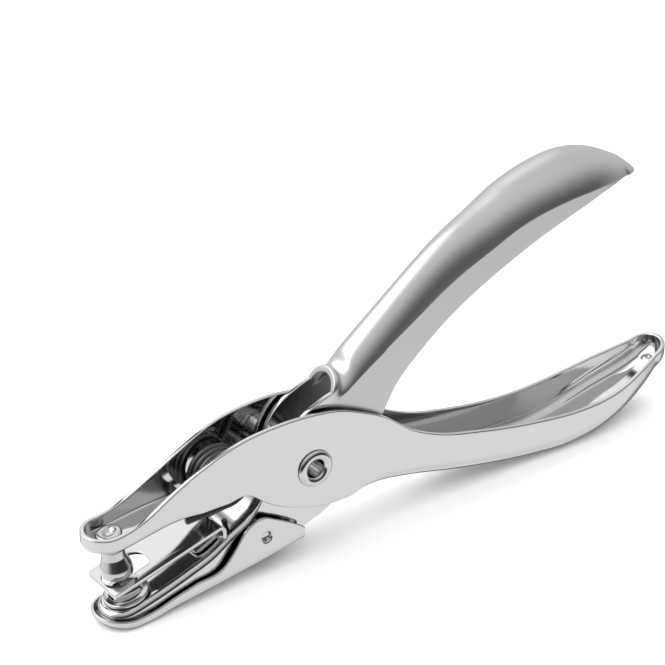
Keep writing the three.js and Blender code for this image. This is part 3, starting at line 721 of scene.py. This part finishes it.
DIE = dict(x=-36.86, z=-12.9, flange_r=4.15, flange_h=0.6, spigot_r=3.55, spigot_h=2.1,
           hole_r=3.08)
PIN_TOP, PIN_TIP = (-38.95, -1.0), (-38.05, -8.5)
PIN_SHANK, PIN_TIP_R, PIN_HEAD = 2.1, 2.85, 2.4
SPRING = dict(x=-16.3, z=2.4, r=4.7, wire=1.2, pitch=1.3, turns=3.86, upper=9.0, lower=5.6)
RIVET = dict(shank=2.6, bore=1.75, head=3.55, head_h=0.6)
SLEEVE_R, SLEEVE_BORE = 3.9, 3.0


class Path:
    """Route of a bent strip's top face in the X Z plane, built from straights and arcs."""

    def __init__(self, start, heading):
        self.parts = []
        self.p = np.array(start, float)
        self.h = heading
        self.length = 0.0

    def ahead(self, distance):
        self.parts.append((self.length, distance, self.p.copy(), self.h, 0.0))
        self.p = self.p + distance * np.array([math.cos(self.h), math.sin(self.h)])
        self.length += distance
        return self

    def turn_right(self, radius, angle):
        self.parts.append((self.length, radius * angle, self.p.copy(), self.h, radius))
        centre = self.p + radius * np.array([math.sin(self.h), -math.cos(self.h)])
        self.h -= angle
        self.p = centre + radius * np.array([-math.sin(self.h), math.cos(self.h)])
        self.length += radius * angle
        return self

    def __call__(self, u, n):
        """The point at distance u along the path and n off it, n being negative on the inside."""
        for start, length, p, h, radius in self.parts:
            if u <= start + length + 1e-9 or (start, length) == self.parts[-1][:2]:
                break
        along = u - start
        if radius:
            turned = h - along / radius
            centre = p + radius * np.array([math.sin(h), -math.cos(h)])
            return centre + (radius + n) * np.array([-math.sin(turned), math.cos(turned)])
        ahead = np.array([math.cos(h), math.sin(h)])
        return p + along * ahead + n * np.array([-ahead[1], ahead[0]])


def guide_path():
    """The guide plate's route, and where along it the first bend and the foot start."""
    bend_start = GUIDE_REAR - GUIDE_BEND * (1 + math.sin(GUIDE_SLOPE))
    first = (bend_start - GUIDE_FRONT[0]) / math.cos(GUIDE_SLOPE)
    path = Path(GUIDE_FRONT, GUIDE_SLOPE).ahead(first).turn_right(GUIDE_BEND, GUIDE_SLOPE + math.pi / 2)
    web = math.atan(LOWER_JAW_TOP.slope(FOOT_X))
    second = math.pi / 2 - web
    end_x = GUIDE_REAR - GUIDE_BEND * (1 - math.cos(second))
    end_z = LOWER_JAW_TOP(end_x) + GAP
    down = path.p[1] - (end_z + GUIDE_BEND * math.sin(second))
    bend_at = path.length - GUIDE_BEND * (GUIDE_SLOPE + math.pi / 2)
    path.ahead(down)
    foot_start = path.length
    path.turn_right(GUIDE_BEND, second).ahead((end_x - FOOT_X + FOOT_HALF) / math.cos(web))
    return path, bend_at, foot_start


def flat_sheet(name, outline, holes, thickness, bevel=BEVEL):
    """Sheet with rounded edges from closed outlines in its own plane, its top at z = 0."""
    data = bpy.data.curves.new(name, "CURVE")
    data.dimensions = "2D"
    data.fill_mode = "BOTH"
    data.extrude = thickness / 2 - bevel
    data.bevel_depth = bevel
    data.bevel_resolution = 3
    data.offset = -bevel
    for points in [outline] + holes:
        spline = data.splines.new("POLY")
        spline.points.add(len(points) - 1)
        for point, (u, v) in zip(spline.points, points):
            point.co = (u, v, 0, 1)
        spline.use_cyclic_u = True
    obj = add_object(name, data)
    mesh = evaluated_mesh(obj)
    bpy.data.objects.remove(obj)
    bm = bmesh.new()
    bm.from_mesh(mesh)
    bmesh.ops.remove_doubles(bm, verts=bm.verts, dist=1e-4)
    for v in bm.verts:
        v.co.z -= thickness / 2
    return bm


def build_guide():
    path, bend_at, foot_start = guide_path()
    corner = [(0, -GUIDE_HALF), (0, GUIDE_HALF), (foot_start + FOOT_NECK, GUIDE_HALF),
              (foot_start + FOOT_NECK, FOOT_HALF), (path.length, FOOT_HALF), (path.length, -FOOT_HALF),
              (foot_start + FOOT_NECK, -FOOT_HALF), (foot_start + FOOT_NECK, -GUIDE_HALF)]
    start = (0.0, 0.0)
    outline = rounded([start] + corner[1:] + [corner[0], start],
                      [0.6, 0.8, 0.5, 1.2, 1.2, 0.5, 0.8, 0.6], 8)[:-1]
    slot = (arc((SLOT_FRONT, 0), SLOT_R, 90, 270, 40) + arc((SLOT_REAR, 0), SLOT_R, -90, 90, 40))
    bm = flat_sheet("guide_plate", outline, [slot], GUIDE_T)
    for u in np.arange(bend_at - 0.1, path.length, BEND_SLICE):
        bmesh.ops.bisect_plane(bm, geom=bm.verts[:] + bm.edges[:] + bm.faces[:], dist=1e-5,
                               plane_co=(u, 0, 0), plane_no=(1, 0, 0))
    for v in bm.verts:
        x, z = path(v.co.x, v.co.z)
        v.co = row([x, v.co.y, z])
    bmesh.ops.recalc_face_normals(bm, faces=bm.faces)
    return make_object("guide_plate_sheet", bm)


def leaning(origin, angle):
    """Places a turned piece: its Z axis leans by angle about Y, its origin at an (x, z) point."""
    def place(points):
        return turn_y(points, angle) + [origin[0], 0, origin[1]]
    return place


def across(points):
    """Places a turned piece with its axis across the object."""
    points = np.asarray(points, float)
    return points[..., [0, 2, 1]]


def pin_place():
    """How the pin is placed, how long it is below the jaw's floor, and how far it leans."""
    lean = math.atan2(PIN_TIP[0] - PIN_TOP[0], PIN_TOP[1] - PIN_TIP[1])
    return leaning(PIN_TOP, lean), math.dist(PIN_TOP, PIN_TIP), lean


def build_punch_pin():
    """Domed head in the upper jaw, shank, and a flared end with a hollow cutting face."""
    place, length, lean = pin_place()
    floor_top = GAP + PIN_HEAD * math.sin(lean)
    shoulder = -SHEET - floor_top - 0.1
    r = PIN_SHANK
    head = rounded([(0, floor_top + 0.1), (0.55, floor_top + 0.12), (1.05, floor_top + 0.5),
                    (1.55, floor_top + 0.62), (2.15, floor_top + 0.5), (PIN_HEAD, floor_top + 0.15),
                    (PIN_HEAD - 0.05, floor_top), (r, floor_top)], [0.3, 0.3, 0.3, 0.4, 0.2, 0.05, 0])
    body = rounded([(r, floor_top), (r, shoulder), (r + 0.12, shoulder), (r + 0.12, shoulder - 0.5),
                    (r, shoulder - 0.8), (r + 0.05, -length + 3.6), (PIN_TIP_R - 0.05, -length + 1.5),
                    (PIN_TIP_R, -length + 0.8), (PIN_TIP_R, -length), (PIN_TIP_R - 0.3, -length),
                    (PIN_TIP_R - 1.0, -length + 1.3), (0, -length + 1.6)],
                   [0, 0.1, 0.1, 0.2, 0.5, 2.0, 0.6, 0.05, 0.05, 0.4], 8)
    return lathe("punch_pin_turned", head + body[1:], place, 128)


def die_place():
    return leaning((DIE["x"], DIE["z"]), GUIDE_SLOPE)


def die_hole_cutter():
    """Bar that opens the lower jaw for the die bush's spigot and for the punch below it."""
    radius = DIE["spigot_r"] + GAP
    top, bottom = 0, -DIE["flange_h"] - DIE["spigot_h"] - GAP
    return lathe("cutter", [(0, top), (radius, top), (radius, bottom), (0, bottom)], die_place(), 96)


def build_die_bush():
    d = DIE
    foot = -d["flange_h"] - d["spigot_h"]
    loop = [(d["hole_r"], -1.2), (d["hole_r"], 0), (d["flange_r"], 0), (d["flange_r"], -d["flange_h"]),
            (d["spigot_r"], -d["flange_h"]), (d["spigot_r"], foot), (d["hole_r"] + 0.14, foot),
            (d["hole_r"], -1.2)]
    profile = rounded(loop, [0.06, 0.28, 0.15, 0.05, 0.15, 0.05], 6)[:-1]
    return lathe("die_bush_turned", profile, die_place(), 128, closed=True)


def build_guide_rivet():
    seat = GUIDE_T + 2 * GAP + 0.1
    back = -SHEET - GAP - 0.15
    loop = [(0, seat + 0.6), (0.8, seat + 0.58), (1.5, seat + 0.2), (1.6, seat), (0.95, seat),
            (0.95, back), (1.6, back), (1.5, back - 0.35), (0.4, back - 0.6), (0, back - 0.6)]
    profile = rounded(loop, [0.5, 0.2, 0.05, 0, 0, 0.05, 0.2, 0.4], 5)
    angle = math.atan(LOWER_JAW_TOP.slope(FOOT_X))
    return lathe("guide_rivet_turned", profile,
                 leaning((FOOT_X, LOWER_JAW_TOP(FOOT_X)), angle), 64)


def build_pivot_rivet():
    """Tubular rivet with both ends rolled over into rings."""
    face = PUNCH_HALF(0) + 0.1
    bore, head, shank = RIVET["bore"], RIVET["head"], RIVET["shank"]
    middle = (bore + head) / 2
    roll = [(middle - (middle - bore) * math.cos(a), face + RIVET["head_h"] * math.sin(a))
            for a in np.linspace(0, math.pi, 19)]
    under = face - 0.05
    half_loop = [(bore, 0), (bore, face - 0.3)] + roll + [(head - 0.1, under), (shank, under), (shank, 0)]
    other = [(r, -z) for r, z in reversed(half_loop)]
    return lathe("pivot_rivet_turned", half_loop + other[1:-1], across, 128, closed=True)


def build_sleeve():
    half = DIE_HALF(0) - SHEET - 0.1
    loop = [(SLEEVE_BORE, 0), (SLEEVE_BORE, half), (SLEEVE_R, half), (SLEEVE_R, -half),
            (SLEEVE_BORE, -half), (SLEEVE_BORE, 0)]
    return lathe("pivot_sleeve_turned", rounded(loop, 0.2, 4)[:-1], across, 96, closed=True)


def coil_length():
    return SPRING["turns"] * 2 * math.pi * SPRING["r"]


def spring_point(along):
    """Centre of the spring's wire at a distance from the tip of its upper leg."""
    q = SPRING
    coil = coil_length()
    past = along - q["upper"]
    s = min(max(past, 0.0), coil)
    angle = -math.pi / 2 + s / q["r"]
    beyond = past - s
    return np.array([q["x"] + q["r"] * math.cos(angle) - math.sin(angle) * beyond,
                     q["turns"] * q["pitch"] * (s / coil - 0.5),
                     q["z"] + q["r"] * math.sin(angle) + math.cos(angle) * beyond])


def build_spring(sides=20, spacing=0.35):
    """Wire of round section along spring_point, with rounded ends."""
    q = SPRING
    total = q["upper"] + q["lower"] + coil_length()
    r = q["wire"] / 2
    ends = [0.0, 0.03, 0.1, 0.2]
    middle = list(np.linspace(spacing, total - spacing, int(total / spacing)))
    stops = ends + middle + [total - e for e in ends[::-1]]
    shrink = [0.0, 0.72, 0.9, 1.0]
    rings = []
    for i, along in enumerate(stops):
        p = spring_point(along)
        ahead = spring_point(along + 0.02) - spring_point(along - 0.02)
        ahead /= np.linalg.norm(ahead)
        side = np.cross(ahead, [0, 1, 0])
        side /= np.linalg.norm(side)
        up = np.cross(side, ahead)
        near_end = min(i, len(stops) - 1 - i)
        radius = r * (shrink[near_end] if near_end < len(shrink) else 1.0)
        rings.append([p + radius * (math.cos(a) * side + math.sin(a) * up) for a in around(sides)])
    shell = Shell()
    shell.patch(np.array(rings), wrap=True)
    return shell.close("torsion_spring_wire")


# ---- materials ----
SMEAR_SIZE, SMEAR_DETAIL = 140.0, 3.0
SATIN_START, SATIN_END = 1.0, 8.0  # behind the pivot, mm: where the satin begins and is full


def material(name, color, roughness, waves=0.0, wave_size=60.0, grain=0.0, grain_size=2500.0,
             smear=0.0, satin=0.0):
    """Metal with faint waves in its surface, a finer grain, and patches of duller and brighter shine.

    satin is the roughness of the handle behind the pivot, where it isn't 0.
    """
    mat = bpy.data.materials.new(name)
    mat.use_nodes = True
    nodes, links = mat.node_tree.nodes, mat.node_tree.links
    shader = nodes["Principled BSDF"]
    shader.inputs["Base Color"].default_value = (*color, 1)
    shader.inputs["Metallic"].default_value = 1.0
    shader.inputs["Roughness"].default_value = roughness
    place = nodes.new("ShaderNodeTexCoord")

    def noise_node(size, detail):
        noise = nodes.new("ShaderNodeTexNoise")
        noise.inputs["Scale"].default_value = size
        noise.inputs["Detail"].default_value = detail
        links.new(place.outputs["Object"], noise.inputs["Vector"])
        return noise

    if smear:
        noise = noise_node(SMEAR_SIZE, SMEAR_DETAIL)
        spread = nodes.new("ShaderNodeMapRange")
        spread.inputs["From Min"].default_value = 0.3
        spread.inputs["From Max"].default_value = 0.7
        spread.inputs["To Min"].default_value = roughness - smear
        spread.inputs["To Max"].default_value = roughness + smear
        links.new(noise.outputs["Fac"], spread.inputs["Value"])
        links.new(spread.outputs["Result"], shader.inputs["Roughness"])
    if satin:
        split = nodes.new("ShaderNodeSeparateXYZ")
        links.new(place.outputs["Object"], split.inputs["Vector"])
        spread = nodes.new("ShaderNodeMapRange")
        spread.interpolation_type = "SMOOTHSTEP"
        spread.inputs["From Min"].default_value = (PIVOT_X + SATIN_START) * MM
        spread.inputs["From Max"].default_value = (PIVOT_X + SATIN_END) * MM
        spread.inputs["To Min"].default_value = roughness
        spread.inputs["To Max"].default_value = satin
        links.new(split.outputs["X"], spread.inputs["Value"])
        links.new(spread.outputs["Result"], shader.inputs["Roughness"])
    normal = None
    for strength, size, detail in ((waves, wave_size, 1.0), (grain, grain_size, 2.0)):
        if not strength:
            continue
        noise = noise_node(size, detail)
        bump = nodes.new("ShaderNodeBump")
        bump.inputs["Strength"].default_value = 1.0
        bump.inputs["Distance"].default_value = strength
        links.new(noise.outputs["Fac"], bump.inputs["Height"])
        if normal:
            links.new(normal, bump.inputs["Normal"])
        normal = bump.outputs["Normal"]
    if normal:
        links.new(normal, shader.inputs["Normal"])
    return mat


CHROME = material("chrome_plate", (0.62, 0.622, 0.626), 0.09, waves=0.00006, wave_size=70.0,
                  grain=0.0000015, grain_size=3500.0, smear=0.02)
SATIN = material("satin_plate", (0.62, 0.622, 0.626), 0.09, waves=0.00005, wave_size=70.0,
                 grain=0.000003, grain_size=3500.0, satin=0.34)
CATCHER = material("catcher_plate", (0.61, 0.612, 0.618), 0.12, waves=0.00005, wave_size=90.0,
                   grain=0.0000015, grain_size=3500.0, smear=0.03)
STEEL = material("ground_steel", (0.56, 0.56, 0.56), 0.14, waves=0.00001, wave_size=300.0,
                 grain=0.000002, grain_size=4000.0, smear=0.04)
SPRING_STEEL = material("spring_wire", (0.10, 0.10, 0.105), 0.3, grain=0.000003, grain_size=4000.0,
                        smear=0.05)


def dress(obj, mat, body, replaced):
    """Gives a piece its material, the body that it rides on and the CAD nodes that it replaces."""
    obj.data.materials.clear()
    obj.data.materials.append(mat)
    smooth(obj)
    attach(obj, body)
    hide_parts(*replaced)


PIVOT_HOLE = 2.9
punch_arm = cut(build_punch_arm(), cross_cutter(0, 0, PIVOT_HOLE))
die_arm = cut(build_die_arm(), cross_cutter(0, 0, PIVOT_HOLE))
cut(die_arm, cross_cutter(DIMPLE_X, DIMPLE_Z, DIMPLE_HOLE))
cut(die_arm, die_hole_cutter())
dress(punch_arm, CHROME, "punch_arm_body", ["punch_arm"])
dress(die_arm, SATIN, "die_arm_body", ["die_arm"])
dress(build_punch_pin(), STEEL, "punch_arm_body", ["punch_pin"])
dress(build_pivot_rivet(), CHROME, "punch_arm_body", ["pivot_rivet"])
dress(build_spring(), SPRING_STEEL, "punch_arm_body", ["torsion_spring"])
dress(build_die_bush(), STEEL, "die_arm_body", ["die_bush"])
dress(build_guide(), CHROME, "die_arm_body", ["guide_plate"])
dress(build_guide_rivet(), CHROME, "die_arm_body", ["guide_plate_rivet"])
dress(build_sleeve(), STEEL, "die_arm_body", ["pivot_sleeve"])
dress(build_tray(), CATCHER, "tray_body", ["chip_catcher"])


# ---- floor, light and camera ----
FLOOR_HALF = 4.0           # metres
FLOOR_ALBEDO = 0.9


def build_floor():
    """Pale floor. Metals don't show it: they show the world below the horizon instead."""
    half = FLOOR_HALF
    corners = [(-half, -half, 0), (half, -half, 0), (half, half, 0), (-half, half, 0)]
    mesh = bpy.data.meshes.new("floor")
    mesh.from_pydata(corners, [], [(0, 1, 2, 3)])
    obj = add_object("floor", mesh)
    mat = bpy.data.materials.new("floor_paper")
    mat.use_nodes = True
    shader = mat.node_tree.nodes["Principled BSDF"]
    shader.inputs["Base Color"].default_value = (FLOOR_ALBEDO, FLOOR_ALBEDO, FLOOR_ALBEDO, 1)
    shader.inputs["Roughness"].default_value = 0.9
    shader.inputs["Specular IOR Level"].default_value = 0.1
    mesh.materials.append(mat)
    obj.visible_glossy = False


class Graph:
    """Short way to write a world's arithmetic as nodes."""

    def __init__(self, tree):
        self.nodes, self.links = tree.nodes, tree.links

    def math(self, operation, *values):
        node = self.nodes.new("ShaderNodeMath")
        node.operation = operation
        for socket, value in zip(node.inputs, values):
            if hasattr(value, "is_output"):
                self.links.new(value, socket)
            else:
                socket.default_value = value
        return node.outputs[0]

    def step(self, value, start, end):
        """0 up to start, 1 from end, smooth between."""
        node = self.nodes.new("ShaderNodeMapRange")
        node.interpolation_type = "SMOOTHSTEP"
        node.inputs["From Min"].default_value = start
        node.inputs["From Max"].default_value = end
        self.links.new(value, node.inputs["Value"])
        return node.outputs["Result"]

    def window(self, value, low, high, edge):
        """1 between low and high, 0 outside, with soft edges."""
        rise = self.step(value, low - edge, low + edge)
        fall = self.step(value, high - edge, high + edge)
        return self.math("MULTIPLY", rise, self.math("SUBTRACT", 1.0, fall))

    def ramp(self, value, stops):
        """Brightness by elevation in degrees, from a list of (elevation, brightness)."""
        node = self.nodes.new("ShaderNodeFloatCurve")
        curve = node.mapping.curves[0]
        top = max(level for _, level in stops)
        while len(curve.points) < len(stops):
            curve.points.new(0.5, 0.5)
        for point, (elevation, level) in zip(curve.points, stops):
            point.location = ((elevation + 90) / 180, level / top)
            point.handle_type = "VECTOR"
        node.mapping.update()
        self.links.new(self.math("MULTIPLY_ADD", value, 1 / 180, 0.5), node.inputs["Value"])
        return self.math("MULTIPLY", node.outputs[0], top)

    def mix(self, share, a, b):
        """a where share is 0, b where it is 1."""
        return self.math("ADD", a, self.math("MULTIPLY", share, self.math("SUBTRACT", b, a)))


# brightness by elevation in degrees, in front of the object and behind it
FRONT_LEVELS = [(-90, 0.8), (-45, 0.95), (-31, 1.08), (-24, 1.0), (-17, 0.14), (-5, 0.04), (8, 0.06),
                (16, 0.25), (30, 0.5), (45, 0.8), (90, 0.85)]
BACK_LEVELS = [(-90, 1.0), (-40, 1.2), (-15, 0.95), (-3, 0.7), (5, 0.75), (30, 0.8), (50, 0.75),
               (90, 0.8)]
BOX_AZIMUTH = 136.0        # middle of the big soft box, degrees from +X
FRONT_SIDE = (-80, 70, 25)  # where the front levels hold, degrees from -Y towards +X, and the edge

# Patches of their own brightness, laid over the levels one after the other. Each is a turn from
# the soft box's middle (low, high, soft edge), an elevation (low, high, soft edge) and a level.
PATCHES = [
    ((-84, -48, 5), (28, 62, 6), 1.3),        # a second, dimmer box
    ((-48, -38, 2), (20, 68, 6), 0.03),       # the dark gap between the two
    ((-38, 42, 3), (24, 64, 8), 2.6),         # the big soft box
    ((-150, -98, 14), (-60, -8, 10), 0.3),    # low, towards the handle tips
    ((-104, -44, 10), (-70, -24, 5), 0.05),   # lower, behind them
]


def build_world():
    """A light tent by direction only: dark at the front horizon, with two soft boxes behind."""
    world = bpy.data.worlds.new("studio")
    bpy.context.scene.world = world
    world.use_nodes = True
    g = Graph(world.node_tree)
    split = g.nodes.new("ShaderNodeSeparateXYZ")
    g.links.new(g.nodes.new("ShaderNodeTexCoord").outputs["Generated"], split.inputs["Vector"])
    x, y, z = split.outputs
    elevation = g.math("DEGREES", g.math("ARCSINE", z))
    c, s = math.cos(math.radians(BOX_AZIMUTH)), math.sin(math.radians(BOX_AZIMUTH))
    ahead = g.math("ADD", g.math("MULTIPLY", x, c), g.math("MULTIPLY", y, s))
    aside = g.math("SUBTRACT", g.math("MULTIPLY", y, c), g.math("MULTIPLY", x, s))
    turn = g.math("DEGREES", g.math("ARCTAN2", aside, ahead))
    azimuth_front = g.math("DEGREES", g.math("ARCTAN2", x, g.math("MULTIPLY", y, -1.0)))
    front = g.window(azimuth_front, *FRONT_SIDE)
    level = g.mix(front, g.ramp(elevation, BACK_LEVELS), g.ramp(elevation, FRONT_LEVELS))
    for turns, heights, brightness in PATCHES:
        patch = g.math("MULTIPLY", g.window(turn, *turns), g.window(elevation, *heights))
        level = g.mix(patch, level, brightness)
    back = g.nodes["Background"]
    g.links.new(level, back.inputs["Color"])
    back.inputs["Strength"].default_value = 1.0


LIGHT_HEIGHT, LIGHT_SIDE, LIGHT_POWER = 1.2, 2.4, 30.0  # metres and watts


def build_overhead_light():
    """A wide light straight above, for the floor and its shadows. Metals don't show it."""
    data = bpy.data.lights.new("overhead", "AREA")
    data.shape = "RECTANGLE"
    data.size, data.size_y = LIGHT_SIDE, LIGHT_SIDE
    data.energy = LIGHT_POWER
    obj = add_object("overhead", data)
    obj.location = (0.0, 0.0, LIGHT_HEIGHT)
    aim = Vector((0.0, 0.0, -LIGHT_HEIGHT))
    obj.rotation_euler = aim.to_track_quat("-Z", "Y").to_euler()
    obj.visible_glossy = False


LENS = 137.4
CAMERA_AT = (-225.4, -321.4, 258.0)  # mm
CAMERA_RIGHT = (0.81918, -0.57208, -0.04092)
CAMERA_BACK = (-0.48175, -0.72504, 0.49216)


def build_camera():
    data = bpy.data.cameras.new("camera")
    data.lens = LENS
    data.sensor_width = 36.0
    data.clip_start = 0.01
    data.clip_end = 20.0
    obj = add_object("camera", data)
    right = Vector(CAMERA_RIGHT).normalized()
    back = Vector(CAMERA_BACK).normalized()
    up = back.cross(right)
    turn = Matrix((right, up, back)).transposed().to_4x4()
    obj.matrix_world = Matrix.Translation(Vector(CAMERA_AT) * MM) @ turn
    bpy.context.scene.camera = obj


build_floor()
build_world()
build_overhead_light()
bpy.context.scene.view_settings.view_transform = "Standard"
build_camera()
